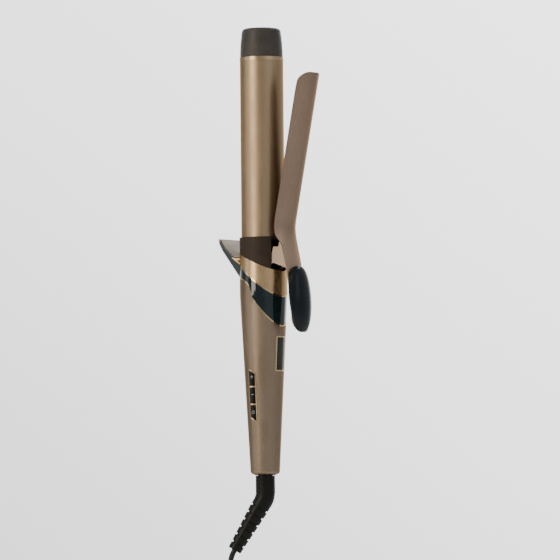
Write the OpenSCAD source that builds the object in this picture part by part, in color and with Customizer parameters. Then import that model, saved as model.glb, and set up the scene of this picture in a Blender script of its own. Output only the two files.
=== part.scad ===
// Curling iron with a sprung clip, a fixed stand edge and a swivelling cord.
// Millimetres. +Z runs along the barrel to the cool tip, +X points to the clip.
// Heights are measured up from the handle's end, and every node is then lowered by
// grip_h, so that the origin is the middle of the grip, where a hand holds the iron.

/* [Barrel] */
// Outer diameter of the heated tube
barrel_d = 32; // [31.6:0.1:32.2]
// Wall of the heated tube
barrel_wall = 1.2; // [1:0.1:1.6]
// Height of the tube's top edge
barrel_top = 306.7; // [304:0.1:312]
// Height of the collar's top edge, where the tube starts
collar_top = 174; // [173:0.1:174.5]
// Length of the cool tip outside the tube
tip_len = 22; // [18:0.5:26]
// How much narrower the cool tip is at its top, in radius
tip_taper = 1.4; // [0.5:0.1:2.5]

/* [Handle] */
// Height of the grip's middle, which is the origin
grip_h = 100; // [90:1:110]
// Radius of the collar, ferrule and upper handle
collar_r = 17.5; // [17.5:0.1:17.7]
// Radius of the handle at its end
end_r = 10.85; // [10.5:0.05:11.5]
// Height at which the handle stops widening
taper_top = 131; // [129:1:133]
// Wall of the handle shells
shell_wall = 2.2; // [1.8:0.1:2.4]
// X of the plane where front and rear shells meet
seam_x = -7; // [-8:0.5:-6.5]
// Thickness of the glossy band laid into the shells
band_t = 1.2; // [0.8:0.1:1.3]
// Width of the light trim lines beside the band
trim_w = 1.1; // [0.8:0.1:1.4]

/* [Stand] */
// X of the stand's tip
stand_tip_x = -30.3; // [-32:0.1:-28]
// Height of the stand's tip
stand_tip_h = 173.6; // [170:0.1:176]
// Half the width of the stand's edge
stand_half_w = 15; // [13:0.5:16]

/* [Clip] */
// Angle by which the clip stands open
clip_open = 11.6; // [0:0.1:20]
// Thickness of the clip's sheet
clip_t = 1; // [0.8:0.1:1.2]
// Height of the clip's upper end when it is closed
clip_top = 298; // [290:1:301]
// Half the angle that the clip covers round the tube
clip_half_angle = 50.5; // [45:0.5:55]
// X of the hinge pin
pivot_x = 8.5; // [8:0.1:9]
// Height of the hinge pin
pivot_h = 143.4; // [143:0.1:144]
// Radius of the hinge pin
pin_r = 1.5; // [1.2:0.1:1.6]
// Length of the thumb pad
pad_len = 47; // [42:1:48]
// Width of the thumb pad
pad_w = 23; // [20:0.1:24]

/* [Controls] */
// Direction of the button strip round the handle
strip_az = -94; // [-96:1:-90]
// Height of the strip's middle
strip_mid = 58.5; // [57:0.5:60]
// Width of a button
button_w = 4.9; // [4.5:0.1:5.2]
// Height of one button
button_len = 11.6; // [11:0.1:12]
// Gap between one button and the next
button_gap = 1.3; // [1.1:0.1:1.5]
// Travel of a button
button_travel = 0.6; // [0.4:0.1:0.7]
// Height of the display window's middle
window_mid = 89; // [88:0.5:90]
// Length of the display window
window_len = 24; // [20:1:26]
// Width of the display window
window_w = 9.2; // [8:0.1:10]

/* [Cord] */
// Diameter of the power cord
cord_d = 4; // [3.6:0.1:4]
// Angle by which the stem bends away from the handle's axis
bend_angle = 31; // [26:1:32]
// Direction round the axis in which the stem bends
hang_az = 215; // [205:1:225]
// Length of the ribbed sleeve
sleeve_len = 36.5; // [34:0.5:40]
// Length of the straight runs of the folded cord
run_len = 75; // [70:1:80]

/* [Hidden] */
$fn = 64;

barrel_r = barrel_d/2;
bore_r = barrel_r - barrel_wall;
taper = (collar_r - end_r)/taper_top;
taper_angle = atan(taper);
inner_r = 15.3;          // clear radius inside the upper handle
ferrule_inner_r = 15.6;
far = 60;                // larger than any cross-section
lap = 1;                 // how far two stretches of one solid run into each other

function lerp(a, b, t) = a + (b - a)*t;
function bezier3(p, t) = p[0]*pow(1 - t, 2) + p[1]*2*t*(1 - t) + p[2]*t*t;
function bezier4(p, t) = p[0]*pow(1 - t, 3) + p[1]*3*t*pow(1 - t, 2)
    + p[2]*3*t*t*(1 - t) + p[3]*pow(t, 3);
function unit(v) = v/norm(v);
function shift_all(points, d) = [for (p = points) p + d];

// ---- Frames -------------------------------------------------------------------

// Lowers the model so that the origin is the middle of the grip
module place() translate([0, 0, -grip_h]) children();

// Extrudes an outline of [x, height] points along Y
module side_prism(points, width) rotate([90, 0, 0])
    linear_extrude(width, center = true) polygon(points);

// The clip's pose: turned open about the hinge pin
module opened() translate([pivot_x, 0, pivot_h]) rotate([0, clip_open, 0])
    translate([-pivot_x, 0, -pivot_h]) children();

// A frame on the handle's slope: X points out of the handle, Z runs up its surface
module on_slope(az, h) rotate([0, 0, az]) translate([0, 0, h])
    rotate([0, taper_angle, 0]) children();

// The plane in which the cord hangs: X points the way the stem bends
module hanging() rotate([0, 0, hang_az]) children();

// A tube along points; ref is a direction that the path never takes
module tube(path, r, sides, ref) {
    n = len(path);
    rings = [for (i = [0:n - 1])
        let (t = unit(path[min(i + 1, n - 1)] - path[max(i - 1, 0)]),
             u = unit(cross(ref, t)), v = cross(t, u))
        for (k = [0:sides - 1]) path[i] + r*(u*cos(360*k/sides) + v*sin(360*k/sides))];
    sides_faces = [for (i = [0:n - 2], k = [0:sides - 1])
        let (a = i*sides + k, b = i*sides + (k + 1)%sides)
        for (f = [[a, a + sides, b], [b, a + sides, b + sides]]) f];
    ends = [[for (k = [0:sides - 1]) k],
            [for (k = [sides - 1:-1:0]) (n - 1)*sides + k]];
    polyhedron(rings, concat(sides_faces, ends), convexity = 6);
}

// ---- Outer form of the handle ----------------------------------------------------

handle_form_top = 176;
end_corner = 2.5;

// The round handle, with its surface moved inwards by inset
module handle_body(inset) {
    corner_r = max(end_corner - inset, 0.3);
    corner_x = end_r - max(inset, 0) - corner_r - min(inset, 0);
    low = max(inset, 0);
    rotate_extrude() polygon(concat(
        [[0, low]],
        [for (a = [-90:15:0]) [corner_x + corner_r*cos(a), low + corner_r*(1 + sin(a))]],
        [[collar_r - inset, taper_top], [collar_r - inset, handle_form_top],
         [0, handle_form_top]]));
}

stand_root_h = 141;
stand_tip = [stand_tip_x, stand_tip_h];
stand_foot = [-18.3, 160.4];      // where the stand's inner face meets the handle
stand_land = 1.6;                 // thickness of the blunt edge
// The stand's outer face sweeps out of the handle in one curve
stand_outer = [for (t = [0:0.0625:1])
    bezier3([[-14.8, stand_root_h], [-18.1, 151], [-24.2, 161.5]], t)];
// Half the stand's width, as [half width, height], grows in the same way
stand_flare = [for (t = [0:0.0625:1])
    bezier3([[4.5, stand_root_h], [12.5, 151], [stand_half_w + 2, 172]], t)];

// The stand seen from above: lines that leave the round handle almost at a tangent
module stand_plan(inset) {
    corner = 2;
    root = [collar_r*cos(101), collar_r*sin(101) - inset];
    tip_x = stand_tip_x + inset;
    half = stand_half_w - inset;
    polygon([root, [tip_x + corner, half], [tip_x, half - corner],
             [tip_x, corner - half], [tip_x + corner, -half], [root[0], -root[1]]]);
    for (s = [-1, 1]) translate([tip_x + corner, s*(half - corner)]) circle(corner);
}

// The stand, with its outer faces moved inwards by inset and its inner face raised by lift
module stand_body(inset, lift = 0) intersection() {
    translate([0, 0, 120]) linear_extrude(far) stand_plan(inset);
    side_prism(concat([[-5, stand_root_h]], shift_all(stand_outer, [inset, 0]),
        [stand_tip + [inset, -stand_land], stand_tip + [inset, lift],
         stand_foot + [0, lift], [-5, 150]]), far);
    rotate([0, 0, 90]) side_prism(concat([for (p = stand_flare) [p[0] - inset, p[1]]],
        [[stand_half_w + 2, 190], [-stand_half_w - 2, 190]],
        [for (i = [len(stand_flare) - 1:-1:0]) [inset - stand_flare[i][0], stand_flare[i][1]]]),
        2*far);
}

module form(inset, lift = 0) {
    handle_body(inset);
    stand_body(inset, lift);
}

// Everything below a plane that slopes down towards the clip
module below(front_h, slope) side_prism([[-far, front_h + slope*far],
    [far, front_h - slope*far], [far, -far], [-far, -far]], 2*far);

collar_plane = [156.8, 0.468];    // height on the axis and slope of the collar's edge
ferrule_plane = [145, 0.81];      // height on the axis and slope of the ferrule's edge

// The band's lower edge: a straight V at the front, then a sweep round to the back
band_front = [[far, 108 - 1.42*(far - 16.4)], [16.4, 108], [2.2, 128.2]];
band_sweep = [for (t = [0:0.125:1])
    bezier4([[1.2, 130.4], [0.2, 141], [-7, 143.6], [-19, 144.4]], t)];
band_back = stand_tip_x + band_t;  // the shell's own lip forms the stand's edge
band_lower = concat(band_front, band_sweep, [[band_back, 144.4]]);

trim_end_x = stand_foot[0] - 0.2;  // the trim below the ferrule ends where the stand starts
// The space between the band's lower edge, raised by lift, and the ferrule
module band_zone(lift, top_drop) intersection() {
    side_prism(concat(shift_all(band_lower, [0, lift]), [[band_back, 250], [far, 250]]), 2*far);
    union() {
        below(ferrule_plane[0] - top_drop, ferrule_plane[1]);
        translate([trim_end_x - far, -far, 120]) cube([far, 2*far, 100]);
    }
}

// ---- Barrel and tip ---------------------------------------------------------------

module barrel_tube() color([0.62, 0.54, 0.42]) place() difference() {
    translate([0, 0, collar_top]) cylinder(h = barrel_top - 2.6 - collar_top, r = barrel_r);
    translate([0, 0, collar_top - 1]) cylinder(h = barrel_top, r = bore_r);
}

module barrel_trim_ring() color([0.78, 0.72, 0.62]) place() difference() {
    translate([0, 0, barrel_top - 2.6]) cylinder(h = 2.6, r = barrel_r + 0.12);
    translate([0, 0, barrel_top - 5]) cylinder(h = 8, r = bore_r);
}

// The tip's outline swells slightly, narrows to its top and ends in a low dome
tip_r = barrel_r - 0.2;
tip_shoulder = tip_len - 3;
tip_corner = 2.6;
module tip_solid(inset) rotate_extrude() polygon(concat(
    [[0, 0]],
    [for (t = [0:0.25:1]) [tip_r - inset - tip_taper*t*t, tip_shoulder*t]],
    [for (a = [25:25:75]) [tip_r - inset - tip_taper - tip_corner*(1 - cos(a)),
        tip_shoulder + tip_corner*sin(a) - inset*a/75]],
    [[tip_r - tip_taper - tip_corner - 4, tip_len - 0.25 - inset], [0, tip_len - inset]]));

module cool_tip() color([0.24, 0.22, 0.2]) place() translate([0, 0, barrel_top]) difference() {
    tip_solid(0);
    difference() {
        translate([0, 0, -0.01]) tip_solid(2.2);
        cylinder(h = 2, r = 50);
    }
    translate([0, 0, -1]) cylinder(h = 4, r = 12);
}

module tip_core() color([0.75, 0.72, 0.65]) place() difference() {
    union() {
        translate([0, 0, barrel_top - 12]) cylinder(h = 12, r = bore_r);
        translate([0, 0, barrel_top]) cylinder(h = 4, r = 12);
    }
    translate([0, 0, barrel_top - 13]) cylinder(h = 11, r = bore_r - 2);
}

// ---- Heater -----------------------------------------------------------------------

heater_low = 192;
heater_len = 96;
heater_gap = 3.2;
module heat_spreader(side) place() difference() {
    translate([0, 0, heater_low]) cylinder(h = heater_len, r = bore_r - 0.1);
    translate([side > 0 ? heater_gap/2 - far : -heater_gap/2, -far, 0]) cube([far, 2*far, 400]);
    for (y = [-8, 8]) translate([side*7, y, 0]) cylinder(h = 400, r = 2.2);
}
module heat_spreader_front() color("silver") heat_spreader(1);
module heat_spreader_rear() color("silver") heat_spreader(-1);

module ptc_heaters() color([0.85, 0.83, 0.78]) place()
    for (i = [0:2]) translate([-heater_gap/2, -7, heater_low + 6 + 29*i])
        cube([heater_gap, 14, 26]);

module thermistor() color([0.8, 0.3, 0.2]) place()
    translate([7, 8, heater_low + 30]) cylinder(h = 8, r = 1.3);

module thermal_fuse() color([0.9, 0.88, 0.8]) place()
    translate([5, -4, collar_top + 3]) cylinder(h = 12, r = 2);

// Three wires pass down the collar's lead bore to the circuit board
lead_x = -5;
module heater_leads() color("white") place()
    for (p = [[lead_x, 2], [lead_x - 1.7, -1.2], [lead_x + 1.7, -1.2]])
        translate([p[0], p[1], 104]) cylinder(h = heater_low - 104, r = 0.8, $fn = 24);

// ---- Collar, ferrule and hinge -----------------------------------------------------

slot_half = 9.9;          // half the width of the slot for the clip's ears
slot_low = 136;
screw_h = [139, 148];     // heights of the bracket's screws
ear_y = [8.3, 9.3];       // inner and outer faces of an ear
insert_low = 127;
module base_collar() color([0.2, 0.16, 0.14]) place() difference() {
    union() {
        // the sleeve that shows, slightly waisted at its slanted lower edge
        difference() {
            translate([0, 0, 140]) cylinder(h = collar_top - 140, r1 = collar_r - 0.8, r2 = collar_r);
            below(collar_plane[0] + 0.05, collar_plane[1]);
            translate([0, 0, 130]) cylinder(h = collar_top - 3 - 130, r = inner_r - 0.1);
        }
        // the rear insert that holds the hinge and runs down inside the handle
        intersection() {
            translate([0, 0, insert_low]) cylinder(h = collar_top - 3 - insert_low, r = inner_r - 0.1);
            translate([-far, -far, 0]) cube([far + 1, 2*far, 300]);
        }
        translate([0, 0, collar_top - 1]) cylinder(h = 9, r = bore_r);
    }
    translate([0, 0, collar_top - 3]) cylinder(h = 20, r = bore_r - 2.4);
    translate([lead_x, 0, 0]) cylinder(h = 300, r = 3.6);
    translate([1, -slot_half, slot_low]) cube([far, 2*slot_half, collar_top - slot_low - 2]);
    translate([14.2, -slot_half, slot_low]) cube([far, 2*slot_half, far]);
    for (h = screw_h) translate([-1.3, 0, h]) rotate([0, 90, 0]) cylinder(h = 5, r = 1.2);
}

module ferrule() color([0.6, 0.53, 0.43]) place() difference() {
    translate([0, 0, 120]) cylinder(h = 60, r = collar_r);
    below(ferrule_plane[0], ferrule_plane[1]);
    difference() {
        translate([-far, -far, 0]) cube([2*far, 2*far, 300]);
        below(collar_plane[0], collar_plane[1]);
    }
    translate([0, 0, 100]) cylinder(h = 100, r = ferrule_inner_r);
    // the wall is thinner where the clip's ears swing past it
    intersection() {
        translate([0, 0, 100]) cylinder(h = 100, r = collar_r - 1.1);
        translate([0, -slot_half, 0]) cube([far, 2*slot_half, 300]);
    }
}

bracket_x = 1;
cheek_y = [9.6, 10.9];
module hinge_bracket() color("gray") place() difference() {
    union() {
        translate([bracket_x, -cheek_y[1], slot_low]) cube([1.4, 2*cheek_y[1], 16]);
        for (s = [-1, 1]) translate([bracket_x, s*(cheek_y[0] + cheek_y[1])/2, slot_low])
            translate([0, -(cheek_y[1] - cheek_y[0])/2, 0])
                cube([9.8, cheek_y[1] - cheek_y[0], 12]);
    }
    translate([pivot_x, 0, pivot_h]) rotate([90, 0, 0]) cylinder(h = 40, r = pin_r, center = true);
    for (h = screw_h) translate([-1.3, 0, h]) rotate([0, 90, 0]) cylinder(h = 5, r = 1.2);
}

module bracket_screws() color("silver") place() for (h = screw_h)
    translate([0, 0, h]) rotate([0, 90, 0]) {
        translate([0, 0, -1.2]) cylinder(h = bracket_x + 2.6, r = 1.2, $fn = 24);
        translate([0, 0, bracket_x + 1.4]) cylinder(h = 1.2, r = 2.3, $fn = 24);
    }

module hinge_pin() color("silver") place() translate([pivot_x, 0, pivot_h])
    rotate([90, 0, 0]) cylinder(h = 2*cheek_y[1] + 0.6, r = pin_r, center = true);

spring_r = 2.75;
wire_r = 0.45;
spring_turns = 5;
module torsion_spring() color("dimgray") place() {
    step = 22.5;
    total = 360*spring_turns + 90;
    coil = [for (a = [0:step:total])
        [pivot_x - spring_r*cos(a), lerp(-3, 3, a/total), pivot_h + spring_r*sin(a)]];
    tube(concat([[pivot_x - spring_r - 2.3, -3.1, slot_low + 1.5],
        [pivot_x - spring_r - 0.5, -3, pivot_h - 3]], coil, [[pivot_x + 4.5, 3.1, pivot_h + spring_r + 2.6],
        [15.5, 3.2, 153.4], [21, 3.3, 155.6]]), wire_r, 8, [0, 1, 0]);
}

// ---- Handle shells, band and trims ---------------------------------------------------

band_base_top = ferrule_plane[0] - trim_w;

module band_trim() color([0.8, 0.74, 0.62]) place() difference() {
    intersection() {
        union() {
            handle_body(-0.12);
            stand_body(-0.12);
        }
        below(ferrule_plane[0], ferrule_plane[1]);
        translate([trim_end_x, -far, 100]) cube([far, 2*far, 80]);
    }
    below(band_base_top, ferrule_plane[1]);
    translate([0, 0, 100]) cylinder(h = 100, r = ferrule_inner_r);
}

module band_shell(low_lift, low_end) difference() {
    intersection() {
        form(0);
        band_zone(low_lift, trim_w);
    }
    form(band_t, 4);
    if (low_end > 0) band_zone(low_end, -far);
}

module gloss_band() color([0.06, 0.12, 0.13]) place() band_shell(trim_w, 0);

module band_edge_trim() color([0.8, 0.74, 0.62]) place() band_shell(0, trim_w);

// The recess in the shells under band and trims
module band_recess() {
    difference() {
        band_zone(0, 0);
        form(band_t, 4);
    }
    difference() {
        translate([-far, -far, 0]) cube([2*far, 2*far, 300]);
        below(band_base_top, ferrule_plane[1]);
        translate([trim_end_x - far, -far, 0]) cube([far, 2*far, 300]);
    }
}

module shell_cavity() {
    rotate_extrude() polygon([[0, 3], [end_r - shell_wall + 3*taper, 3],
        [inner_r, 122], [inner_r, 200], [0, 200]]);
}

frame_edge = 0.8;         // width of the frame round the display window
module window_prism(grow) on_slope(0, window_mid)
    translate([0, -window_w/2 - grow, -window_len/2 - grow])
        cube([far, window_w + 2*grow, window_len + 2*grow]);

strip_len = 3*button_len + 2*button_gap;
strip_slant = 3.2;        // how far the strip's ends slant across its width
// Outline of a stretch of the strip as [across, along] points
function strip_outline(w, low, high, low_slant, high_slant) = [
    [-w/2, low + low_slant], [w/2, low], [w/2, high - high_slant], [-w/2, high]];
module strip_prism(w, low, high, low_slant, high_slant) on_slope(strip_az, strip_mid)
    rotate([90, 0, 90]) linear_extrude(far)
        polygon(strip_outline(w, low, high, low_slant, high_slant));
bezel_edge = 1;
module strip_opening(grow) strip_prism(button_w + 2*grow, -strip_len/2 - grow,
    strip_len/2 + grow, strip_slant, strip_slant);

screw_spots = [30, 116];
seam_gap = 0.16;
module shell_half(front) intersection() {
    difference() {
        form(0);
        shell_cavity();
        band_recess();
        translate([0, 0, -1]) cylinder(h = 8, r = 8);
    }
    translate([front ? seam_x + seam_gap/2 : seam_x - seam_gap/2 - far, -far, -1])
        cube([far, 2*far, 300]);
}

module front_shell() color([0.6, 0.52, 0.43]) place() difference() {
    shell_half(true);
    window_prism(frame_edge);
    strip_opening(bezel_edge);
}

module rear_shell() color([0.6, 0.52, 0.43]) place() difference() {
    shell_half(false);
    for (h = screw_spots) translate([-far, 0, h]) rotate([0, 90, 0]) {
        cylinder(h = far, r = 1.3);
        cylinder(h = far - (end_r + taper*h) + 1.2, r = 2.5);
    }
    // the plate on the stand's inner face lies in a shallow step
    stand_plate_space();
}

module stand_plate_space() intersection() {
    stand_body(band_t + 0.3);
    side_prism([stand_tip + [0, 1], stand_foot + [0.6, 1], stand_foot + [0.6, -0.8],
        stand_tip + [0, -0.8]], 2*far);
}

module stand_plate() color([0.72, 0.67, 0.6]) place() stand_plate_space();

module shell_screws() color("dimgray") place() for (h = screw_spots) {
    r = end_r + taper*h;
    translate([-r + 1.2, 0, h]) rotate([0, 90, 0]) {
        difference() {
            translate([0, 0, -1]) cylinder(h = 1, r = 2.4);
            translate([-0.3, -1.6, -1.2]) cube([0.6, 3.2, 0.7]);
            translate([-1.6, -0.3, -1.2]) cube([3.2, 0.6, 0.7]);
        }
        cylinder(h = 6, r = 1.2);
    }
}

module display_window() color([0.05, 0.1, 0.1]) place() difference() {
    intersection() {
        handle_body(0.05);
        window_prism(0);
    }
    handle_body(1.5);
}

module window_frame() color([0.78, 0.72, 0.62]) place() difference() {
    intersection() {
        handle_body(-0.1);
        window_prism(frame_edge);
    }
    window_prism(0);
    handle_body(1.5);
}

module display_module() color([0.15, 0.3, 0.2]) place() on_slope(0, window_mid)
    translate([end_r + taper*window_mid - 6.2, -window_w/2, -window_len/2])
        cube([3.2, window_w, window_len]);

// ---- Side controls --------------------------------------------------------------------

strip_surface = (end_r + taper*strip_mid)*cos(taper_angle);
module control_bezel() color([0.8, 0.66, 0.4]) place() difference() {
    intersection() {
        handle_body(-0.3);
        strip_opening(bezel_edge - 0.02);
    }
    for (i = [0:2]) button_space(i, 0.15);
    handle_body(1.8);
}

function button_low(i) = -strip_len/2 + i*(button_len + button_gap);
module button_space(i, grow) strip_prism(button_w + 2*grow, button_low(i) - grow,
    button_low(i) + button_len + grow, i == 0 ? strip_slant : 0, i == 2 ? strip_slant : 0);

module push_button(i) place() {
    difference() {
        intersection() {
            handle_body(-0.2);
            button_space(i, 0);
        }
        handle_body(2);
    }
    on_slope(strip_az, strip_mid)
        translate([strip_surface - 2.9, -1, button_low(i) + button_len/2 - 1]) cube([1, 2, 2]);
}
module power_button() color([0.05, 0.05, 0.05]) push_button(0);
module minus_button() color([0.05, 0.05, 0.05]) push_button(1);
module plus_button() color([0.05, 0.05, 0.05]) push_button(2);

board_x = 7.4;
board_t = 1.2;
module control_board() color([0.1, 0.35, 0.2]) place() on_slope(strip_az, strip_mid)
    translate([board_x - board_t, -5.6, -26]) cube([board_t, 11.2, 68]);

module tact_switches() color("gainsboro") place() for (i = [0:2])
    on_slope(strip_az, strip_mid) translate([board_x, -2, button_low(i) + button_len/2 - 2])
        cube([strip_surface - 2.9 - button_travel - 0.15 - board_x, 4, 4]);

// ---- Clip -------------------------------------------------------------------------------

plate_r = barrel_r + 0.3 + clip_t/2;      // middle of the sheet where it lies on the tube
plate_half = plate_r*sin(clip_half_angle);
lever_half = 9.9;
lever_line = [[plate_r, 188], [plate_r + 0.1, 172], [35.5, 140], [40.3, 110]];
wing_low = 173;           // height at which the plate's wings have narrowed to the lever
top_corner = 9;

// Stations along the closed sheet: [x, height, angle from vertical, half width, arc radius]
function plate_width(h) = h > clip_top - top_corner
    ? plate_half - top_corner + sqrt(max(pow(top_corner, 2) - pow(h - clip_top + top_corner, 2), 0))
    : plate_half;
function lever_width(t, h) = h > 177 ? plate_half
    : h > wing_low ? lerp(lever_half, plate_half, sqrt((h - wing_low)/(177 - wing_low)))
    : t > 0.9 ? lever_half*sqrt(max(1 - pow((t - 0.9)/0.1, 2), 0.02))
    : lever_half;
function lever_slope(t) = let (d = bezier4(lever_line, t + 0.005) - bezier4(lever_line, t - 0.005))
    atan2(d[0], -d[1]);
function lever_arc(h) = plate_r + 26*pow(min(max((182 - h)/30, 0), 1), 1.5);
plate_stations = [for (d = [0, 0.4, 1.2, 2.4, 4.2, 6.6, top_corner, 30, 60, 90])
    [plate_r, clip_top - d, 0, plate_width(clip_top - d), plate_r]];
lever_stations = [for (t = [0:0.04:0.88]) lever_station(t)];
lever_end_stations = [for (t = [0.9, 0.93, 0.96, 0.98, 0.99, 1]) lever_station(t)];
function lever_station(t) = let (p = bezier4(lever_line, t))
    [p[0], p[1], t == 0 ? 0 : lever_slope(t), lever_width(t, p[1]), lever_arc(p[1])];
stations = concat(plate_stations, lever_stations, lever_end_stations);

// A point of a station's section, out millimetres from the sheet's middle, at y across
function sheet_point(s, y, out) = let (a = asin(y/s[4]), push = (s[4] + out)*cos(a) - s[4])
    [s[0] + push*cos(s[2]), (s[4] + out)*sin(a), s[1] + push*sin(s[2])];

sheet_steps = 12;
module sheet(rows, t) {
    ring = 2*(sheet_steps + 1);
    points = [for (s = rows) for (side = [1, -1]) for (k = [0:sheet_steps])
        sheet_point(s, side*(2*k/sheet_steps - 1)*s[3], side*t/2)];
    n = len(rows);
    faces = concat(
        [for (i = [0:n - 2], k = [0:ring - 1]) let (a = i*ring + k, b = i*ring + (k + 1)%ring)
            for (f = [[a, b, a + ring], [b, b + ring, a + ring]]) f],
        [for (k = [0:sheet_steps - 1]) [ring - 1 - k, ring - 2 - k, k + 1, k]],
        [for (k = [0:sheet_steps - 1], last = (n - 1)*ring)
            [last + k, last + k + 1, last + ring - 2 - k, last + ring - 1 - k]]);
    polyhedron(points, faces, convexity = 8);
}

module clip_plate() color([0.5, 0.44, 0.37]) place() opened() sheet(stations, clip_t);

// The ears' outer edge follows the sheet, and their neck leans back to the hinge pin
ear_mid = (ear_y[0] + ear_y[1])/2;
ear_edge = [for (t = [0.22:0.035:0.5])
    let (p = sheet_point(lever_station(t), ear_mid, 0.1)) [p[0], p[2]]];
module clip_ears() color([0.5, 0.44, 0.37]) place() opened() difference() {
    for (s = [-1, 1]) translate([0, s*ear_mid, 0]) {
        side_prism(concat([[pivot_x - 3.3, pivot_h], [pivot_x - 2.9, 152], [8, 158.5],
            [10.6, 164], [10.6, 167.3], [14.4, 168], [15.3, 169], [15.3, 174]], ear_edge,
            [[12.9, 155.9], [9.7, 153], [9.4, 147.8], [pivot_x + 3.3, pivot_h]]),
            ear_y[1] - ear_y[0]);
        translate([pivot_x, 0, pivot_h]) rotate([90, 0, 0])
            cylinder(h = ear_y[1] - ear_y[0], r = 3.3, center = true);
    }
    translate([pivot_x, 0, pivot_h]) rotate([90, 0, 0])
        cylinder(h = 40, r = pin_r + 0.05, center = true);
}

// The thumb pad: an oval cushion on the lever's outer face, thickest at its upper end
pad_edge = 1.6;
function pad_t(a) = 6.2 - 1.4*sin(a);
pad_middle = 0.745;       // the pad's middle, as a share of the lever's curve
lever_pace = 89;          // length of the lever's curve for each unit of that share
function pad_station(a) =
    let (t = pad_middle + pad_len/2/lever_pace*sin(a), s = lever_station(min(t, 1)),
         beyond = max(t - 1, 0)*lever_pace, slope = lever_slope(1))
    [s[0] + beyond*sin(slope), s[1] - beyond*cos(slope), s[2],
     max(pad_w/2*pow(cos(a), 0.75), 0.6), 43, pad_t(a)*pow(max(cos(a), 0.001), 0.5)];
pad_stations = [for (a = [-90:7.5:90]) pad_station(a)];
module thumb_pad() color([0.04, 0.08, 0.09]) place() opened() {
    steps = 12;
    ring = 2*(steps + 1);
    n = len(pad_stations);
    points = [for (s = pad_stations) for (side = [1, -1]) for (k = [0:steps])
        let (y = side*sin(90*(2*k/steps - 1)), crown = pow(max(1 - pow(abs(y), 3), 0), 0.6))
        sheet_point(s, y*s[3], side > 0 ? clip_t/2 + 0.3 + max(pad_edge, s[5]*crown)*min(s[5], 1)
            : clip_t/2 + 0.02)];
    faces = concat(
        [for (i = [0:n - 2], k = [0:ring - 1]) let (a = i*ring + k, b = i*ring + (k + 1)%ring)
            for (f = [[a, b, a + ring], [b, b + ring, a + ring]]) f],
        [for (k = [0:sheet_steps - 1]) [ring - 1 - k, ring - 2 - k, k + 1, k]],
        [for (k = [0:sheet_steps - 1], last = (n - 1)*ring)
            [last + k, last + k + 1, last + ring - 2 - k, last + ring - 1 - k]]);
    polyhedron(points, faces, convexity = 8);
}

module pad_rivets() color("silver") place() opened() for (t = [0.62, 0.86]) {
    s = lever_station(t);
    translate([s[0], 0, s[1]]) rotate([0, 90 - s[2], 0]) {
        translate([0, 0, -clip_t/2 - 0.96]) cylinder(h = 0.9, r = 2.2, $fn = 32);
    }
}

// ---- Swivel and cord -----------------------------------------------------------------------

neck_r = 5.5;
stem_r = 7.2;
housing_low = -0.6;
housing_top = 8;
module swivel_housing() color([0.12, 0.11, 0.1]) place() difference() {
    union() {
        translate([0, 0, housing_low]) cylinder(h = housing_top - housing_low, r = 8);
        translate([0, 0, 3]) cylinder(h = 2, r = 8.7);
    }
    translate([0, 0, -5]) cylinder(h = 20, r = neck_r + 0.08);
}

post_r = 3;
bend_r = 14;
stem_low = -14;
stem_tail = 4.5;          // straight length of the stem below its bend
module swivel_stem() color([0.08, 0.08, 0.07]) place() {
    translate([0, 0, stem_low]) cylinder(h = housing_low - 0.3 - stem_low, r = stem_r);
    translate([0, 0, stem_low]) cylinder(h = housing_top + 0.2 - stem_low, r = neck_r);
    translate([0, 0, housing_top + 0.2]) cylinder(h = 1.4, r = 7.2);
    translate([0, 0, housing_top + 0.2]) cylinder(h = 10, r = post_r);
    hanging() translate([bend_r, 0, stem_low + lap]) rotate([-90, 0, 0])
        rotate([0, 0, 180 - bend_angle]) rotate_extrude(angle = bend_angle)
            translate([bend_r, 0]) circle(stem_r - 0.15);
    along_sleeve(-stem_tail - 0.5) cylinder(h = stem_tail + 0.5, r = stem_r - 0.3);
}

ring_heights = [10.4, 13.8];
module slip_rings() color("gold") place() for (h = ring_heights) difference() {
    translate([0, 0, h]) cylinder(h = 1.8, r = post_r + 0.9);
    translate([0, 0, h - 1]) cylinder(h = 4, r = post_r);
}

module contact_brushes() color("goldenrod") place() {
    brush_x = post_r + 1.1;
    for (i = [0:1]) rotate([0, 0, 180*i]) translate([brush_x, -1.2, ring_heights[i]])
        cube([0.4, 2.4, 21 - ring_heights[i]]);
    translate([0, 0, 21]) cylinder(h = 1.5, r = 8);
}

// The sleeve starts at the stem's end; both are given in the hanging plane
bend_end = [bend_r*(1 - cos(bend_angle)), stem_low + lap - bend_r*sin(bend_angle)];
sleeve_way = [sin(bend_angle), -cos(bend_angle)];
sleeve_start = bend_end + stem_tail*sleeve_way;
sleeve_end = sleeve_start + sleeve_len*sleeve_way;
// Puts +Z along the sleeve, from a point that lies d past its start
module along_sleeve(d) hanging()
    translate([sleeve_start[0] + d*sleeve_way[0], 0, sleeve_start[1] + d*sleeve_way[1]])
        rotate([0, 180 - bend_angle, 0]) children();

sleeve_ribs = 6;
rib_pitch = sleeve_len/sleeve_ribs;
rib_share = 0.78;         // share of the pitch that a rib takes up
function rib_r(i) = lerp(7, 5, i/sleeve_ribs);
module strain_relief() color([0.09, 0.09, 0.08]) place() along_sleeve(0) difference() {
    union() {
        cylinder(h = sleeve_len, r1 = rib_r(0) - 1.1, r2 = rib_r(sleeve_ribs) - 1.1);
        for (i = [0:sleeve_ribs - 1]) translate([0, 0, (i + 1 - rib_share)*rib_pitch])
            cylinder(h = rib_pitch*rib_share, r1 = rib_r(i), r2 = rib_r(i + rib_share));
    }
    translate([0, 0, 12]) cylinder(h = sleeve_len, r = cord_d/2);
}

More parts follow.
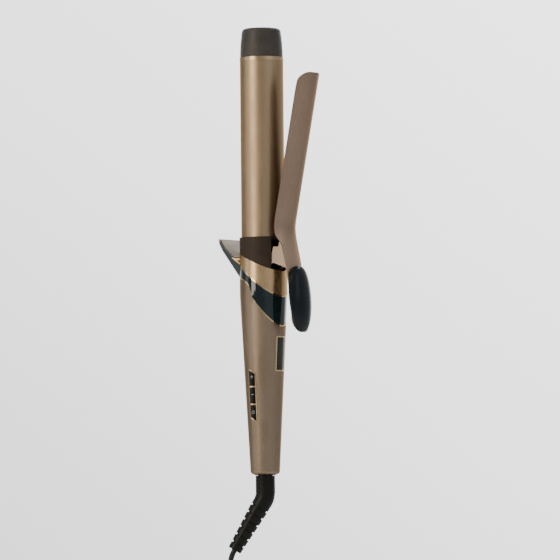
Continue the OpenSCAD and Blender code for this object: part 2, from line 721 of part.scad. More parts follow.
// The cord from inside the sleeve down to the hank, in the hanging plane: straight, then an
// arc to the vertical, then a sidestep into the hank's second lane
cord_arc_r = 22;
hank_high = -90;          // height at which the hank's straight runs start
lane = cord_d + 0.1;
arc_end = sleeve_end + cord_arc_r*[1 - cos(bend_angle), -sin(bend_angle)];
cord_route = concat(
    [for (d = [10, 5]) let (p = sleeve_end - d*sleeve_way) [p[0], 0, p[1]]],
    [for (a = [0:0.25:1]) let (turn = bend_angle*(1 - a))
        [arc_end[0] - cord_arc_r*(1 - cos(turn)), 0, arc_end[1] + cord_arc_r*sin(turn)]],
    [for (t = [0.2:0.2:0.8]) [arc_end[0], -lane*t*t*(3 - 2*t), lerp(arc_end[1], hank_high, t)]]);
module power_cord() color([0.09, 0.09, 0.08]) place() hanging()
    tube(cord_route, cord_d/2, 10, [0, 1, 0]);

fold_r = 16;              // middle of the outer folds
hank_x = arc_end[0] - fold_r;
hank_low = hank_high - run_len;
tail_reach = 12;          // how far the tail leaves from the middle of the hank
hank_half = fold_r + cord_d/2;
module cord_hank() color([0.09, 0.09, 0.08]) place() hanging() rotate([90, 0, 0])
    linear_extrude(5*lane, center = true) {
        translate([hank_x - hank_half, hank_low]) square([2*hank_half, run_len]);
        for (h = [hank_high, hank_low]) translate([hank_x, h]) circle(hank_half);
    }

tie_t = 1;
tie_h = 13;
module cord_tie() color([0.2, 0.2, 0.2]) place() hanging()
    translate([hank_x, 0, hank_high - run_len/2]) difference() {
        cube([2*(hank_half + tie_t), 5*lane + 2*tie_t, tie_h], center = true);
        cube([2*hank_half, 5*lane, tie_h + 1], center = true);
    }

tail_x = hank_x + tail_reach;
tail_y = -2*lane;
tail_high = hank_low - sqrt(pow(hank_half, 2) - pow(tail_reach, 2)) + 1;
plug_high = hank_low - 38;
module cord_tail() color([0.09, 0.09, 0.08]) place() hanging()
    tube([for (t = [0:0.2:1]) [tail_x, tail_y, lerp(tail_high, plug_high, t)]],
        cord_d/2, 10, [0, 1, 0]);

// Flat two-pin plug: a grip that widens to a flat face, then two round pins
plug_face = plug_high - 48;
pin_gap = 18.6;
pin_len = 19;
plug_pin_r = 2;
pin_root = 6;             // length of a pin inside the plug
pin_root_r = 1.3;
plug_half = 17.6;         // half the width of the plug's face
plug_deep = 6.85;         // half its depth
// One side of the plug's grip, from the cord down to the face
grip_side = [for (t = [0:0.2:1]) bezier4([[7, plug_high - 14], [9.5, plug_high - 22],
    [8.5, plug_high - 33], [plug_half, plug_high - 39]], t)];
grip_depth = [[4.6, plug_high - 14], [5, plug_high - 26], [plug_deep, plug_high - 40]];
function both_sides(side, end) = concat(side, [end],
    [for (p = concat([end], [for (i = [len(side) - 1:-1:0]) side[i]])) [-p[0], p[1]]]);
module plug_body() color([0.09, 0.09, 0.08]) place() hanging() translate([tail_x, tail_y, 0]) {
    translate([0, 0, plug_high - 16]) cylinder(h = 16, r1 = 4.4, r2 = 3.2);
    difference() {
        intersection() {
            side_prism(both_sides(grip_side, [plug_half, plug_face]), 2*plug_deep);
            rotate([0, 0, 90])
                side_prism(both_sides(grip_depth, [plug_deep, plug_face]), 3*plug_half);
        }
        for (s = [-1, 1]) translate([s*pin_gap/2, 0, plug_face - 1])
            cylinder(h = pin_root + 1, r = pin_root_r);
    }
}

module plug_pins() color("gold") place() hanging() for (s = [-1, 1])
    translate([tail_x + s*pin_gap/2, tail_y, plug_face - pin_len]) {
        cylinder(h = 1, r1 = plug_pin_r - 0.7, r2 = plug_pin_r);
        translate([0, 0, 1]) cylinder(h = pin_len - 1, r = plug_pin_r);
        cylinder(h = pin_len + pin_root, r = pin_root_r);
    }

barrel_tube();
barrel_trim_ring();
cool_tip();
tip_core();
heat_spreader_front();
heat_spreader_rear();
ptc_heaters();
thermistor();
thermal_fuse();
heater_leads();
base_collar();
ferrule();
band_trim();
gloss_band();
band_edge_trim();
front_shell();
rear_shell();
stand_plate();
shell_screws();
display_window();
window_frame();
display_module();
control_bezel();
control_board();
tact_switches();
power_button();
minus_button();
plus_button();
hinge_bracket();
bracket_screws();
hinge_pin();
torsion_spring();
clip_plate();
clip_ears();
thumb_pad();
pad_rivets();
swivel_housing();
contact_brushes();
swivel_stem();
slip_rings();
strain_relief();
power_cord();
cord_hank();
cord_tie();
cord_tail();
plug_body();
plug_pins();
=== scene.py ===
"""Curling iron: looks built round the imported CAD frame. Metres, +Z along the barrel."""
import math

import bmesh
import bpy
from mathutils import Matrix, Vector


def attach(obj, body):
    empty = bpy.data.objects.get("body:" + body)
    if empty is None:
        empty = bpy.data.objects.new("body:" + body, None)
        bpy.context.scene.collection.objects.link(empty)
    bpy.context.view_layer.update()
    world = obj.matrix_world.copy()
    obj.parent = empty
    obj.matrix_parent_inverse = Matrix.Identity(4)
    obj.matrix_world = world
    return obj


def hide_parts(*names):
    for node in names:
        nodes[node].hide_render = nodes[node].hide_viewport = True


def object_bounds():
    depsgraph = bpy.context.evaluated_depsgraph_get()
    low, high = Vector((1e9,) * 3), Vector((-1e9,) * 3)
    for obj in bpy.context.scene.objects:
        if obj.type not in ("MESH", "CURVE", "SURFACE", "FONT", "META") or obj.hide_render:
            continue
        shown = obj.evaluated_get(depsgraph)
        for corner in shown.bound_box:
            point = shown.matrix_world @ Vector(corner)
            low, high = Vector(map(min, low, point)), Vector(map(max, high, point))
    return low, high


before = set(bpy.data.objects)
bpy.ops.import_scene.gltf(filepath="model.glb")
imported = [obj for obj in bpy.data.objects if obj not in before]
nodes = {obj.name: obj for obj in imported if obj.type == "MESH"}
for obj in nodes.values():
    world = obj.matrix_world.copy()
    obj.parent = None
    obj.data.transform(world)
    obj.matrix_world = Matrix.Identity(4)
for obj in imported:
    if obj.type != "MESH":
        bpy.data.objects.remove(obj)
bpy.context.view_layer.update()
MM = 0.001
HANDLE_END = -0.1                 # the handle's end lies this far below the origin


# ---- Camera ---------------------------------------------------------------------------

VIEW_AZIMUTH = math.radians(35)
VIEW_ELEVATION = math.radians(-2.6)
VIEW_ROLL = math.radians(-0.54)
VIEW_DISTANCE = 3.0
FRAME_WIDTH = 0.412               # width that the picture covers at the iron
right = Vector((math.cos(VIEW_AZIMUTH), math.sin(VIEW_AZIMUTH), 0))
left = -right
up = Vector((0, 0, 1))
front = Vector((math.sin(VIEW_AZIMUTH), -math.cos(VIEW_AZIMUTH), 0))
towards_camera = front * math.cos(VIEW_ELEVATION) + up * math.sin(VIEW_ELEVATION)
target = up * 0.0427 + right * 0.0121    # the point that the camera looks at


def make_camera():
    """A long lens that looks slightly upwards at the iron."""
    data = bpy.data.cameras.new("camera")
    data.sensor_width = 36
    data.lens = data.sensor_width * VIEW_DISTANCE / FRAME_WIDTH
    data.clip_start, data.clip_end = 0.1, 100
    camera = bpy.data.objects.new("camera", data)
    bpy.context.scene.collection.objects.link(camera)
    camera.location = target + towards_camera * VIEW_DISTANCE
    aim = towards_camera.to_track_quat("Z", "Y").to_matrix().to_4x4()
    camera.rotation_mode = "QUATERNION"
    camera.rotation_quaternion = (aim @ Matrix.Rotation(VIEW_ROLL, 4, "Z")).to_quaternion()
    bpy.context.scene.camera = camera


make_camera()


# ---- Cord -----------------------------------------------------------------------------

# Lengths in mm: x is across the plane in which the cord hangs, heights are above the handle's end
HANG_DIRECTION = math.radians(215)
CORD_RADIUS = 2 * MM
BEND = math.radians(31)           # the sleeve's lean away from the vertical
SLEEVE_END = (23.116, -55.354)    # x and height at which the cord leaves the sleeve
IN_SLEEVE = (10, 7.5, 5, 2.5)     # how far inside the sleeve the route's first points lie
CORD_ARC = 22                     # radius of the cord's bend below the sleeve
RUN_X = SLEEVE_END[0] + CORD_ARC * (1 - math.cos(BEND))
ARC_END = SLEEVE_END[1] - CORD_ARC * math.sin(BEND)
OUTER_FOLD, INNER_FOLD = 16, 12   # radii of the hank's two layers of folds
LANE = 4.1                        # distance from one lane of the hank to the next
HANK_X = RUN_X - OUTER_FOLD
HANK_HIGH, HANK_LOW = -90, -165   # heights of the two ends of the straight runs
TAIL = 38                         # the cord between the hank and the plug
PLUG_TOP = HANK_LOW - TAIL
LAST_STEP = 0.5                   # the route's last step, straight into the plug
PLUG_LENGTH = 48
PIN_SLEEVE = 9                    # length of the insulating sleeve on each pin


def hanging(x, y, height):
    """A point given in mm in the frame of the hanging cord, as a point of the row frame."""
    turn = Matrix.Rotation(HANG_DIRECTION, 3, "Z")
    return turn @ Vector((x, y, 0)) * MM + up * (HANDLE_END + height * MM)


def lane_y(lane):
    """Where a lane lies across the hank; lane 2 is the middle."""
    return (lane - 2) * LANE


def smooth(t):
    """Eases from 0 to 1."""
    return t * t * (3 - 2 * t)


def route_points():
    """The cord from inside the sleeve to the hank: straight, an arc, then a sidestep."""
    points = [(SLEEVE_END[0] - d * math.sin(BEND), 0, SLEEVE_END[1] + d * math.cos(BEND))
              for d in IN_SLEEVE]
    arc_steps, drop_steps = 8, 9
    for i in range(arc_steps + 1):
        turn = BEND * (1 - i / arc_steps)
        points.append((RUN_X - CORD_ARC * (1 - math.cos(turn)), 0,
                       ARC_END + CORD_ARC * math.sin(turn)))
    drop = HANK_HIGH - ARC_END
    return points + [(RUN_X, -LANE * smooth(i / drop_steps), ARC_END + drop * i / drop_steps)
                     for i in range(1, drop_steps)]


def run(x, height_from, height_to, lane_from, lane_to, steps=8):
    """A straight run of the hank, which may cross from one lane to another."""
    return [(x, lane_y(lane_from + (lane_to - lane_from) * smooth(i / steps)),
             height_from + (height_to - height_from) * i / steps) for i in range(steps)]


def fold(height, radius_from, radius_to, start, lane_from, lane_to, steps=14):
    """Half a turn round an end of the hank: start is 0 at the +x side, 180 at the -x side."""
    points = []
    for i in range(steps):
        t = i / steps
        angle = math.radians(start - 180 * t)
        radius = radius_from + (radius_to - radius_from) * smooth(t)
        lane = lane_from + (lane_to - lane_from) * smooth(t)
        points.append((HANK_X + radius * math.cos(angle), lane_y(lane),
                       height + radius * math.sin(angle)))
    return points


def hank_points():
    """Seven turns, outer layer first, then back through the inner layer to the tail."""
    radii = [OUTER_FOLD] * 4 + [INNER_FOLD] * 4
    lanes = [1, 2, 3, 4, 4, 3, 2, 1]
    points = []
    for turn in range(len(lanes) - 1):
        radius, after = radii[turn], radii[turn + 1]
        lane, lane_after = lanes[turn], lanes[turn + 1]
        points += run(HANK_X + radius, HANK_HIGH, HANK_LOW, lane, lane)
        points += fold(HANK_LOW, radius, after, 0, lane, lane_after)
        points += run(HANK_X - after, HANK_LOW, HANK_HIGH, lane_after, lane_after)
        points += fold(HANK_HIGH, after, after, 180, lane_after, lane_after)
    tail_x = HANK_X + INNER_FOLD
    points += run(tail_x, HANK_HIGH, HANK_LOW, lanes[-1], 0)
    points += run(tail_x, HANK_LOW, PLUG_TOP + LAST_STEP, 0, 0)
    return points + [(tail_x, lane_y(0), PLUG_TOP)]


def make_cord():
    """The whole cord as one mesh, which turns with the swivel."""
    route = [hanging(*point) for point in route_points() + hank_points()]
    data = bpy.data.curves.new("cord_line", "CURVE")
    data.dimensions = "3D"
    data.bevel_depth = CORD_RADIUS
    data.bevel_resolution = 4
    data.use_fill_caps = True
    spline = data.splines.new("POLY")
    spline.points.add(len(route) - 1)
    for point, place in zip(spline.points, route):
        point.co = (*place, 1)
    line = bpy.data.objects.new("cord_line", data)
    bpy.context.scene.collection.objects.link(line)
    shown = line.evaluated_get(bpy.context.evaluated_depsgraph_get())
    cord = bpy.data.objects.new("mains_cord", bpy.data.meshes.new_from_object(shown))
    bpy.data.objects.remove(line)
    bpy.context.scene.collection.objects.link(cord)
    cord.data.shade_smooth()
    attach(cord, "cord_swivel")
    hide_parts("power_cord", "cord_hank", "cord_tail")
    return cord


mains_cord = make_cord()


# ---- Node materials -------------------------------------------------------------------


class Paint:
    """A node material whose patterns lie in the row frame, so scales are cells per metre."""

    def __init__(self, name):
        self.material = bpy.data.materials.new(name)
        self.material.use_nodes = True
        self.tree = self.material.node_tree
        self.shader = self.tree.nodes["Principled BSDF"]
        self.place = self.tree.nodes.new("ShaderNodeTexCoord").outputs["Object"]
        self.relief = None

    def link(self, value, socket):
        """Feeds a socket from another socket, a colour or a number."""
        if isinstance(value, bpy.types.NodeSocket):
            self.tree.links.new(value, socket)
        elif socket.type == "RGBA":
            socket.default_value = (*value, 1)
        else:
            socket.default_value = value

    def set(self, **values):
        """Feeds inputs of the shader by name, with _ for a space."""
        for key, value in values.items():
            self.link(value, self.shader.inputs[key.replace("_", " ")])
        return self

    def tone(self):
        """The socket that now feeds the base colour."""
        return self.shader.inputs["Base Color"].links[0].from_socket

    def stretched(self, scale):
        node = self.tree.nodes.new("ShaderNodeMapping")
        self.link(self.place, node.inputs["Vector"])
        node.inputs["Scale"].default_value = scale
        return node.outputs["Vector"]

    def noise(self, scale, detail=3, roughness=0.55, place=None):
        node = self.tree.nodes.new("ShaderNodeTexNoise")
        self.link(place or self.place, node.inputs["Vector"])
        node.inputs["Scale"].default_value = scale
        node.inputs["Detail"].default_value = detail
        node.inputs["Roughness"].default_value = roughness
        return node.outputs["Fac"]

    def cells(self, scale, output="Distance"):
        node = self.tree.nodes.new("ShaderNodeTexVoronoi")
        self.link(self.place, node.inputs["Vector"])
        node.inputs["Scale"].default_value = scale
        return node.outputs[output]

    def axis(self, letter):
        node = self.tree.nodes.new("ShaderNodeSeparateXYZ")
        self.link(self.place, node.inputs[0])
        return node.outputs[letter]

    def spread(self, value, low, high, to_low=0.0, to_high=1.0):
        """Maps low..high smoothly to to_low..to_high, and holds the ends."""
        node = self.tree.nodes.new("ShaderNodeMapRange")
        node.interpolation_type = "SMOOTHSTEP"
        for socket, entry in zip(node.inputs, (value, low, high, to_low, to_high)):
            self.link(entry, socket)
        return node.outputs["Result"]

    def math(self, operation, a, b=0.0):
        node = self.tree.nodes.new("ShaderNodeMath")
        node.operation = operation
        self.link(a, node.inputs[0])
        self.link(b, node.inputs[1])
        return node.outputs[0]

    def mix(self, factor, a, b):
        """Colour a where the factor is 0, colour b where it is 1."""
        node = self.tree.nodes.new("ShaderNodeMix")
        node.data_type = "RGBA"
        self.link(factor, node.inputs[0])
        self.link(a, node.inputs[6])
        self.link(b, node.inputs[7])
        return node.outputs[2]

    def bump(self, height, strength, depth):
        node = self.tree.nodes.new("ShaderNodeBump")
        node.inputs["Strength"].default_value = strength
        node.inputs["Distance"].default_value = depth
        self.link(height, node.inputs["Height"])
        if self.relief:
            self.link(self.relief, node.inputs["Normal"])
        self.relief = node.outputs["Normal"]
        self.link(self.relief, self.shader.inputs["Normal"])
        return self


def shade(colour, factor):
    """A colour made darker or lighter."""
    return tuple(min(channel * factor, 1) for channel in colour)


# Coated metal turns darker towards its outline
EDGE_TINT = (0.42, 0.36, 0.31)


def satin_metal(name, colour, roughness, streaks=(900, 900, 6), smudge=0.06, metal=1.0, flake=0.0):
    """Coated metal: fine drawn streaks, soft smudges, and metallic flakes where flake > 0."""
    paint = Paint(name)
    drawn = paint.noise(1.0, 2, place=paint.stretched(streaks))
    patch = paint.noise(38, 4)
    tone = paint.mix(paint.spread(patch, 0.3, 0.7), shade(colour, 0.93), shade(colour, 1.06))
    tone = paint.mix(paint.spread(drawn, 0.35, 0.65, 0, 0.35), tone, shade(colour, 0.86))
    if flake:
        spots = paint.spread(paint.cells(5200, "Color"), 0.5, 0.95, 0, flake)
        tone = paint.mix(spots, tone, shade(colour, 1.35))
    wear = paint.math("ADD", paint.spread(patch, 0.35, 0.75, roughness - smudge, roughness + smudge),
                      paint.spread(drawn, 0.3, 0.7, -0.03, 0.03))
    paint.set(Base_Color=tone, Metallic=metal, Roughness=wear, Specular_Tint=EDGE_TINT)
    return paint.bump(drawn, 0.03, 0.00005).bump(paint.noise(1500, 2), 0.03, 0.00004)


def moulded(name, colour, roughness, grain=1400, depth=0.25, sheen=0.0, shine=0.3):
    """Moulded plastic or rubber with a fine grain and slight mottling."""
    paint = Paint(name)
    patch = paint.noise(60, 4)
    fine = paint.noise(grain, 3, 0.6)
    tone = paint.mix(paint.spread(patch, 0.3, 0.7), shade(colour, 0.82), shade(colour, 1.18))
    tone = paint.mix(paint.spread(fine, 0.45, 0.8, 0, 0.4), tone, shade(colour, 1.5))
    wear = paint.math("ADD", paint.spread(patch, 0.3, 0.7, roughness - 0.05, roughness + 0.05),
                      paint.spread(fine, 0.3, 0.7, -0.04, 0.04))
    paint.set(Base_Color=tone, Roughness=wear, Sheen_Weight=sheen, Specular_IOR_Level=shine)
    return paint.bump(fine, depth, 0.0002)


def gloss(name, colour, roughness, tint=1.6, shine=0.5, coat=0.6):
    """Piano gloss with faint haze, dust and hairline scratches."""
    paint = Paint(name)
    haze = paint.noise(30, 5)
    hairs = paint.noise(1.0, 2, place=paint.stretched((1500, 240, 60)))
    dust = paint.spread(paint.cells(420), 0.06, 0.0, 0, 0.5)
    tone = paint.mix(paint.spread(haze, 0.3, 0.7), colour, shade(colour, tint))
    tone = paint.mix(paint.math("MULTIPLY", dust, 0.25), tone, (0.25, 0.24, 0.22))
    wear = paint.math("ADD", paint.spread(haze, 0.35, 0.75, roughness * 0.6, roughness * 1.8),
                      paint.spread(hairs, 0.6, 0.72, 0, 0.05))
    paint.set(Base_Color=tone, Roughness=wear, Coat_Weight=coat, Coat_Roughness=0.03,
              Specular_IOR_Level=shine)
    return paint.bump(hairs, 0.015, 0.0001)


CHAMPAGNE = (0.265, 0.2, 0.142)
FERRULE = (0.60, 0.415, 0.225)
BRONZE = (0.49, 0.35, 0.215)
TAUPE = (0.31, 0.221, 0.16)
GOLD = (0.90, 0.64, 0.34)
BLACK_RUBBER = (0.007, 0.0068, 0.0055)
DISPLAY_HEIGHTS = (80, 98)        # mm above the handle's end
DISPLAY_HALF_WIDTH = 3.4          # mm
LEVER_HIGHLIGHT_HEIGHTS = (0.085, 0.06)     # metres: the painted highlight on the clip's lever fades in between these


def barrel_paint():
    """Satin bronze, drawn along the tube."""
    paint = satin_metal("barrel", BRONZE, 0.44, streaks=(1300, 1300, 5), smudge=0.05)
    # an even tint, through which a little of the drawn tone shows above the lower end
    height = paint.spread(paint.axis("Z"), 0.08, 0.15)
    return paint.set(Base_Color=paint.mix(paint.math("MULTIPLY", height, 0.18), shade(BRONZE, 0.8),
                                          paint.tone()))


def window_paint():
    """Dark glass, with the unlit display a shade lighter behind its middle."""
    paint = gloss("window", (0.005, 0.007, 0.006), 0.05, shine=0.35, coat=0.25)
    low, high = [height * MM + HANDLE_END for height in DISPLAY_HEIGHTS]
    half, edge = DISPLAY_HALF_WIDTH * MM, 0.2 * MM
    across = paint.math("ABSOLUTE", paint.axis("Y"))
    inside = paint.math("MULTIPLY", paint.spread(across, half, half - edge),
                        paint.math("MULTIPLY", paint.spread(paint.axis("Z"), low, low + edge),
                                   paint.spread(paint.axis("Z"), high, high - edge)))
    return paint.set(Base_Color=paint.mix(paint.math("MULTIPLY", inside, 0.8), paint.tone(),
                                          (0.014, 0.020, 0.017)))


def clip_paint():
    """Satin taupe outside, with painted shade on the side that faces the barrel and a painted highlight on
    the lever.
    """
    paint = satin_metal("clip", TAUPE, 0.42, streaks=(900, 900, 7), metal=0.9, flake=0.25)
    facing = paint.tree.nodes.new("ShaderNodeSeparateXYZ")
    paint.link(paint.tree.nodes["Texture Coordinate"].outputs["Normal"], facing.inputs[0])
    # painted shade: the side that faces the barrel is darkened, so that its reflection in the barrel reads
    # as shadow
    inside = paint.spread(facing.outputs["X"], -0.25, -0.5)
    # painted highlight: the lever is a shade lighter than the stretch that lies on the barrel
    lever_highlight = paint.spread(paint.axis("Z"), *LEVER_HIGHLIGHT_HEIGHTS)
    tone = paint.mix(lever_highlight, paint.tone(), shade(TAUPE, 1.4))
    return paint.set(Base_Color=paint.mix(inside, tone, shade(TAUPE, 0.3)))


def board_paint():
    """Green lacquer with lighter tracks."""
    paint = moulded("board", (0.02, 0.12, 0.05), 0.5, grain=500)
    tracks = paint.spread(paint.cells(700), 0.05, 0.02)
    return paint.set(Base_Color=paint.mix(tracks, paint.tone(), (0.05, 0.22, 0.10)))


def tie_paint():
    """Woven strap: level ribs and a soft nap."""
    paint = moulded("tie", (0.035, 0.035, 0.037), 0.85, grain=2400, depth=0.3, sheen=0.5)
    waves = paint.tree.nodes.new("ShaderNodeTexWave")
    waves.bands_direction = "Z"
    waves.inputs["Scale"].default_value = 300
    paint.link(paint.place, waves.inputs["Vector"])
    loops = paint.noise(900, 2, place=paint.stretched((1, 1, 0.35)))
    return paint.bump(waves.outputs["Fac"], 0.4, 0.0004).bump(loops, 0.5, 0.0004)


def pin_paint():
    """Nickelled pins whose upper half carries a black insulating sleeve."""
    paint = satin_metal("pins", (0.62, 0.58, 0.50), 0.2, streaks=(400, 400, 400))
    low = HANDLE_END + (PLUG_TOP - PLUG_LENGTH - PIN_SLEEVE) * MM
    sleeve = paint.spread(paint.axis("Z"), low, low + 0.2 * MM)
    return paint.set(Base_Color=paint.mix(sleeve, paint.tone(), (0.012, 0.012, 0.012)),
                     Metallic=paint.math("SUBTRACT", 1, sleeve))


# ---- Finishes of the CAD nodes --------------------------------------------------------

paints = {
    "barrel_tube": barrel_paint(),
    "barrel_trim_ring": satin_metal("barrel_trim", shade(BRONZE, 1.12), 0.36, streaks=(1300, 1300, 5)),
    "cool_tip": moulded("tip", (0.048, 0.042, 0.036), 0.5, grain=1500, depth=0.35),
    "base_collar": moulded("collar", (0.032, 0.020, 0.013), 0.5, grain=1700, depth=0.3, shine=0.2),
    "handle": satin_metal("handle", CHAMPAGNE, 0.42, streaks=(700, 700, 9), metal=0.9, flake=0.5),
    "ferrule": satin_metal("ferrule", FERRULE, 0.34, streaks=(420, 420, 4), metal=0.95),
    "gold": satin_metal("gold", GOLD, 0.16, streaks=(500, 500, 30), smudge=0.04),
    "gloss_band": gloss("band", (0.004, 0.012, 0.0135), 0.06, shine=0.4, coat=0.4),
    "stand_plate": satin_metal("stand_plate", (0.50, 0.46, 0.40), 0.42, streaks=(60, 1400, 60), metal=0.6),
    "window": window_paint(),
    "buttons": gloss("buttons", (0.003, 0.003, 0.003), 0.2, shine=0.2, coat=0),
    "clip": clip_paint(),
    "pad": moulded("pad", (0.003, 0.006, 0.009), 0.24, grain=900, depth=0.05, shine=0.28),
    "sleeve": moulded("sleeve", BLACK_RUBBER, 0.36, grain=1300, depth=0.2, shine=0.16),
    "cord": moulded("cord", BLACK_RUBBER, 0.42, grain=1100, depth=0.2),
    "tie": tie_paint(),
    "plug": moulded("plug", BLACK_RUBBER, 0.45, grain=1100, depth=0.3),
    "plug_pins": pin_paint(),
    "steel": satin_metal("steel", (0.55, 0.55, 0.56), 0.25, streaks=(600, 600, 600)),
    "spring": satin_metal("spring", (0.30, 0.30, 0.31), 0.3, streaks=(800, 800, 800)),
    "aluminium": satin_metal("aluminium", (0.65, 0.66, 0.68), 0.4, streaks=(600, 600, 20)),
    "brass": satin_metal("brass", (0.70, 0.50, 0.22), 0.25, streaks=(500, 500, 500)),
    "ceramic": moulded("ceramic", (0.62, 0.59, 0.52), 0.6, grain=800, depth=0.1),
    "wire": moulded("wire", (0.55, 0.52, 0.48), 0.5, grain=900, depth=0.1),
    "glass_fuse": moulded("glass_fuse", (0.45, 0.22, 0.14), 0.35, grain=700, depth=0.1),
    "board": board_paint(),
    "switches": moulded("switches", (0.35, 0.35, 0.33), 0.45, grain=1000, depth=0.1),
    "print": moulded("print", (0.26, 0.26, 0.25), 0.5, grain=1200, depth=0.05),
}
finish_of = {
    "barrel_tube": "barrel_tube", "barrel_trim_ring": "barrel_trim_ring", "cool_tip": "cool_tip",
    "tip_core": "ceramic", "heat_spreader_front": "aluminium", "heat_spreader_rear": "aluminium",
    "ptc_heaters": "ceramic", "thermistor": "glass_fuse", "thermal_fuse": "ceramic",
    "heater_leads": "wire", "base_collar": "base_collar", "ferrule": "ferrule",
    "band_trim": "gold", "gloss_band": "gloss_band", "band_edge_trim": "gold",
    "front_shell": "handle", "rear_shell": "handle", "stand_plate": "stand_plate",
    "shell_screws": "steel", "display_window": "window", "window_frame": "gold",
    "display_module": "board", "control_bezel": "gold", "control_board": "board",
    "tact_switches": "switches", "power_button": "buttons", "minus_button": "buttons",
    "plus_button": "buttons", "hinge_bracket": "steel", "bracket_screws": "steel",
    "hinge_pin": "steel", "torsion_spring": "spring", "clip_plate": "clip", "clip_ears": "clip",
    "thumb_pad": "pad", "pad_rivets": "steel", "swivel_housing": "base_collar",
    "contact_brushes": "brass", "swivel_stem": "sleeve", "slip_rings": "brass",
    "strain_relief": "sleeve", "cord_tie": "tie", "plug_body": "plug", "plug_pins": "plug_pins",
}
EDGE_TURN = 38                    # degrees: edges that turn by more are rounded
# Width in mm of the rounded edge that each visible moulding or pressing gets
edges = {
    "cool_tip": 0.5, "base_collar": 0.25, "ferrule": 0.25, "front_shell": 0.15,
    "rear_shell": 0.15, "stand_plate": 0.15, "window_frame": 0.1, "control_bezel": 0.1,
    "power_button": 0.3, "minus_button": 0.3, "plus_button": 0.3, "clip_ears": 0.3,
    "swivel_housing": 0.3, "strain_relief": 0.5, "plug_body": 1.6,
    "plug_pins": 0.2, "shell_screws": 0.15, "barrel_trim_ring": 0.1, "cord_tie": 0.3,
}


def wear(piece, paint):
    """Gives a piece one paint."""
    piece.data.materials.clear()
    piece.data.materials.append(paint.material)


def rounded(piece, width, sharp, harden=False):
    """Rounds the edges that turn by more than sharp degrees; width in mm."""
    bevel = piece.modifiers.new("rounded edge", "BEVEL")
    bevel.width = width * MM
    bevel.segments = 3
    bevel.limit_method = "ANGLE"
    bevel.angle_limit = math.radians(sharp)
    bevel.harden_normals = harden


for name, finish in finish_of.items():
    wear(nodes[name], paints[finish])
wear(mains_cord, paints["cord"])

for name, width in edges.items():
    rounded(nodes[name], width, EDGE_TURN)


# ---- Smooth copies of the curved pressings and mouldings ------------------------------


def refined(name, body, sharp, width, subdivisions):
    """A copy of a CAD node with its flat strips smoothed and its edges rounded."""
    source = nodes[name]
    mesh = source.data.copy()
    mesh.name = name + "_smooth"
    work = bmesh.new()
    work.from_mesh(mesh)
    bmesh.ops.remove_doubles(work, verts=work.verts, dist=2e-6)
    bmesh.ops.join_triangles(work, faces=work.faces, angle_face_threshold=math.radians(20),
                             angle_shape_threshold=math.radians(60))
    for face in work.faces:
        face.smooth = True
    for edge in work.edges:
        sharp_edge = len(edge.link_faces) == 2 and edge.calc_face_angle() > math.radians(sharp)
        edge.smooth = not sharp_edge
    work.to_mesh(mesh)
    work.free()
    if "custom_normal" in mesh.attributes:
        mesh.attributes.remove(mesh.attributes["custom_normal"])
    piece = bpy.data.objects.new(name + "_smooth", mesh)
    piece.matrix_world = source.matrix_world.copy()
    bpy.context.scene.collection.objects.link(piece)
    if subdivisions:
        crease = mesh.attributes.new("crease_edge", "FLOAT", "EDGE")
        for edge, entry in zip(mesh.edges, crease.data):
            entry.value = 1.0 if edge.use_edge_sharp else 0.0
        smoothing = piece.modifiers.new("smooth", "SUBSURF")
        smoothing.levels = smoothing.render_levels = subdivisions
    rounded(piece, width, sharp, harden=True)
    if not subdivisions:
        piece.modifiers.new("even shading", "WEIGHTED_NORMAL").keep_sharp = True
    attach(piece, body)
    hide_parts(name)
    return piece


wear(refined("thumb_pad", "clip", 50, 0.5, 1), paints["pad"])
wear(refined("clip_plate", "clip", 50, 0.3, 1), paints["clip"])
wear(refined("gloss_band", "handle", 24, 0.2, 0), paints["gloss_band"])


# ---- Printed marks on the buttons -----------------------------------------------------

# Lengths in mm, heights above the handle's end
STRIP_AZIMUTH, STRIP_MIDDLE = math.radians(-94), 58.5
END_RADIUS, UPPER_RADIUS, TAPER_TOP = 10.85, 17.5, 131    # the handle's cone
TAPER = (UPPER_RADIUS - END_RADIUS) / TAPER_TOP
MARK_RISE = 0.23                  # how far the marks lie outside the handle's own surface
MARK_WIDTH = 0.48                 # of one stroke
MARK_REACH = 1.2                  # from the middle of the plus and the minus to their ends
RING_RADIUS = 1.15                # of the power mark's ring
BUTTON_PITCH = 12.9


def on_button(y, z):
    """A point just clear of the buttons' tops: y across and z along the strip, in mm."""
    radius = END_RADIUS + MARK_RISE + TAPER * (STRIP_MIDDLE + z)
    out = math.sqrt(radius * radius - y * y)
    return (Matrix.Rotation(STRIP_AZIMUTH, 3, "Z") @ Vector((out, y, 0))) * MM + up * (
        HANDLE_END + (STRIP_MIDDLE + z) * MM)


def printed(name, strokes, middle, body):
    """Strokes of pale paint, each a line of [y, z] points, as one mesh that rides on a button."""
    half = MARK_WIDTH / 2
    work = bmesh.new()
    for line in strokes:
        sides = []
        for i, point in enumerate(line):
            before, after = line[max(i - 1, 0)], line[min(i + 1, len(line) - 1)]
            way = Vector((after[0] - before[0], after[1] - before[1])).normalized() * half
            sides.append([work.verts.new(on_button(point[0] + s * way.y, middle + point[1] - s * way.x))
                          for s in (-1, 1)])
        for a, b in zip(sides, sides[1:]):
            work.faces.new((a[0], a[1], b[1], b[0]))
    mesh = bpy.data.meshes.new(name)
    work.to_mesh(mesh)
    work.free()
    mark = bpy.data.objects.new(name, mesh)
    bpy.context.scene.collection.objects.link(mark)
    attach(mark, body)
    wear(mark, paints["print"])


def straight(a, b, steps=6):
    """A stroke from a to b, in steps short enough to follow the button's curve."""
    return [(a[0] + (b[0] - a[0]) * i / steps, a[1] + (b[1] - a[1]) * i / steps)
            for i in range(steps + 1)]


dash = straight((-MARK_REACH, 0), (MARK_REACH, 0))
# the plus is the dash and two strokes that stop at its edges
lower_arm = straight((0, -MARK_REACH), (0, -MARK_WIDTH / 2))
upper_arm = straight((0, MARK_WIDTH / 2), (0, MARK_REACH))
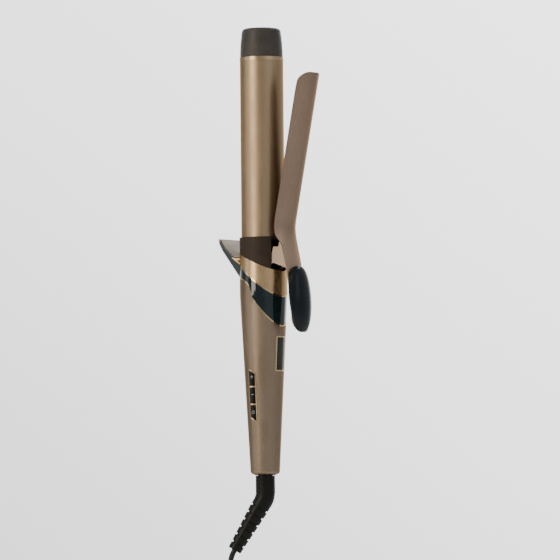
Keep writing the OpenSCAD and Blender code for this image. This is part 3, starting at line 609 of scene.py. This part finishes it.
# the ring is open at the top, where the power mark's bar stands
ring = [(RING_RADIUS * math.sin(math.radians(a)), RING_RADIUS * math.cos(math.radians(a)))
        for a in range(35, 326, 15)]
printed("plus_mark", [dash, lower_arm, upper_arm], BUTTON_PITCH, "plus_key")
printed("minus_mark", [dash], 0, "minus_key")
printed("power_mark", [ring, straight((0, 0.1), (0, 1.5))], -BUTTON_PITCH, "power_key")


# ---- Lights and floor -----------------------------------------------------------------

WORLD_FRONT, WORLD_BACK = 0.34, 2.3    # brightness all round, and behind the iron
FLOOR_RADIUS, FLOOR_GAP = 5, 0.03      # metres: the gap is below the lowest piece


def mapped(tree, value, low, high, to_low, to_high, interpolation="LINEAR"):
    """Maps low..high to to_low..to_high, and holds the ends."""
    node = tree.nodes.new("ShaderNodeMapRange")
    node.interpolation_type = interpolation
    for socket, entry in zip(list(node.inputs)[1:5], (low, high, to_low, to_high)):
        socket.default_value = entry
    tree.links.new(value, node.inputs[0])
    return node.outputs["Result"]


def along(tree, place, direction):
    """How far the view of the world points along a direction."""
    node = tree.nodes.new("ShaderNodeVectorMath")
    node.operation = "DOT_PRODUCT"
    node.inputs[1].default_value = direction
    tree.links.new(place, node.inputs[0])
    return node.outputs["Value"]


def make_world():
    """A pale studio, brightest behind the iron."""
    world = bpy.data.worlds.new("studio")
    world.use_nodes = True
    tree = world.node_tree
    place = tree.nodes.new("ShaderNodeTexCoord").outputs["Generated"]
    glow = mapped(tree, along(tree, place, -front), 0.5, 0.985, WORLD_FRONT, WORLD_BACK, "SMOOTHSTEP")
    # the wall is a little brighter towards the upper right
    wall = mapped(tree, along(tree, place, up * 1.1 + right * 0.9), -0.09, 0.19, 0.76, 1.4)
    strength = tree.nodes.new("ShaderNodeMath")
    strength.operation = "MULTIPLY"
    tree.links.new(glow, strength.inputs[0])
    tree.links.new(wall, strength.inputs[1])
    background = tree.nodes["Background"]
    background.inputs["Color"].default_value = (0.985, 0.99, 1.0, 1)
    tree.links.new(strength.outputs[0], background.inputs["Strength"])
    bpy.context.scene.world = world


def area_light(name, direction, distance, size, power, colour=(1, 1, 1)):
    """A soft light that faces the camera's target."""
    data = bpy.data.lights.new(name, "AREA")
    data.shape = "RECTANGLE"
    data.size, data.size_y = size
    data.energy = power
    data.color = colour
    lamp = bpy.data.objects.new(name, data)
    bpy.context.scene.collection.objects.link(lamp)
    lamp.location = target + Vector(direction).normalized() * distance
    lamp.rotation_mode = "QUATERNION"
    lamp.rotation_quaternion = Vector(direction).normalized().to_track_quat("Z", "Y")


def make_floor():
    """A pale round floor a little below the lowest piece."""
    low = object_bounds()[0][2] - FLOOR_GAP
    bpy.ops.mesh.primitive_circle_add(vertices=96, radius=FLOOR_RADIUS, fill_type="NGON",
                                      location=(0, 0, low))
    plane = bpy.context.object
    plane.name = "floor"
    paint = bpy.data.materials.new("floor")
    paint.use_nodes = True
    shader = paint.node_tree.nodes["Principled BSDF"]
    shader.inputs["Base Color"].default_value = (0.8, 0.8, 0.8, 1)
    shader.inputs["Roughness"].default_value = 0.7
    plane.data.materials.append(paint)


make_world()
area_light("key", left * 0.76 + front * 0.62 + up * 0.36, 2.0, (0.7, 1.35), 22.5, (1, 0.91, 0.76))
area_light("side", left * 1.0 + front * 0.05 + up * 0.15, 2.4, (0.8, 1.6), 4)
area_light("fill", right * 0.75 + front * 0.85 + up * 0.5, 3.0, (1.8, 1.8), 6)
area_light("top", right * 0.75 - front * 0.25 + up * 1.25, 2.3, (0.9, 0.9), 14)
area_light("back", left * 0.3 - front * 1.0 + up * 0.9, 2.4, (1.4, 1.4), 12)
make_floor()
